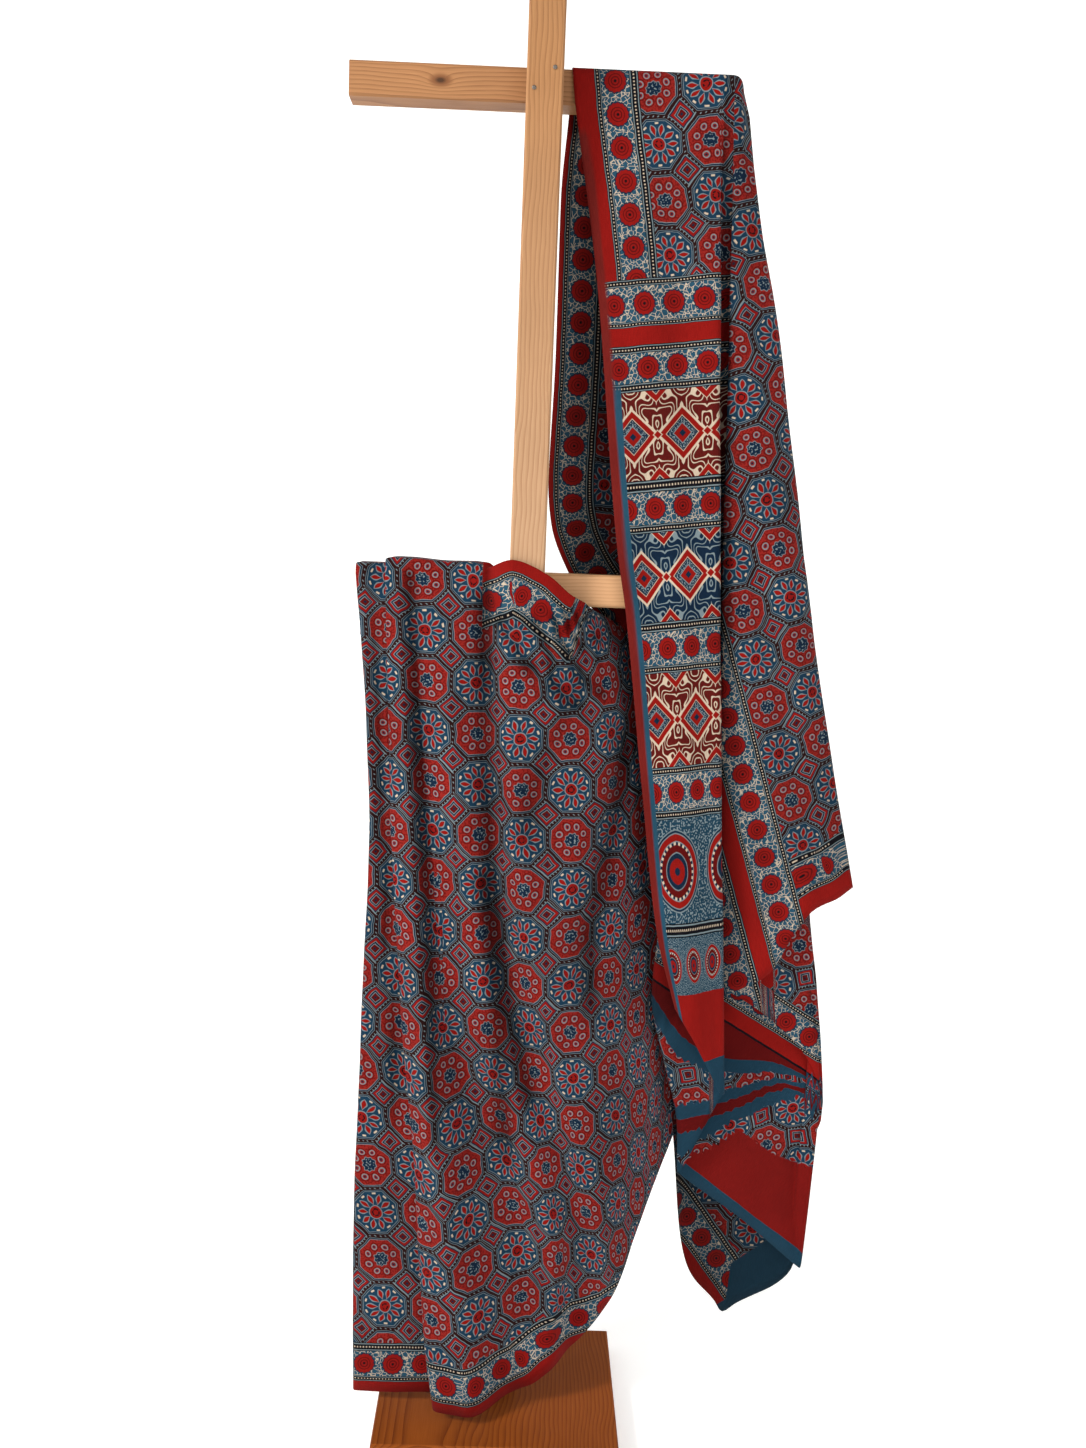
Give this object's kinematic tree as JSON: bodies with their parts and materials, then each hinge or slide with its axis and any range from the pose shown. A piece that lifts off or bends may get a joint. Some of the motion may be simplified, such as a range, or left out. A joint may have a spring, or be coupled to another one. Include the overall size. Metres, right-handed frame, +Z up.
{
  "type": "ajrakh cloth on a wooden cross-arm stand",
  "caption": "Block-printed ajrakh cloth in red and indigo, draped over the arms of a plain pine stand.",
  "frame": {"origin": "on the underside of the base board, below the middle of the post", "axes": "+Z up along the post, +X towards the arms' end that carries the hanging end panel, front at -Y"},
  "size_m": [0.7056, 0.26, 1.91],
  "materials": {
    "pine": "clear satin varnish",
    "stained_board": "satin varnish, scuffed",
    "screw_steel": "dull",
    "printed_cotton": "matt woven, resist printed"
  },
  "bodies": {
    "root": {"base": "stained_board", "post": "pine", "upper_arm": "pine", "lower_arm": "pine", "screw_1": "screw_steel", "screw_2": "screw_steel", "cloth": "printed_cotton"}
  },
  "joints": []
}
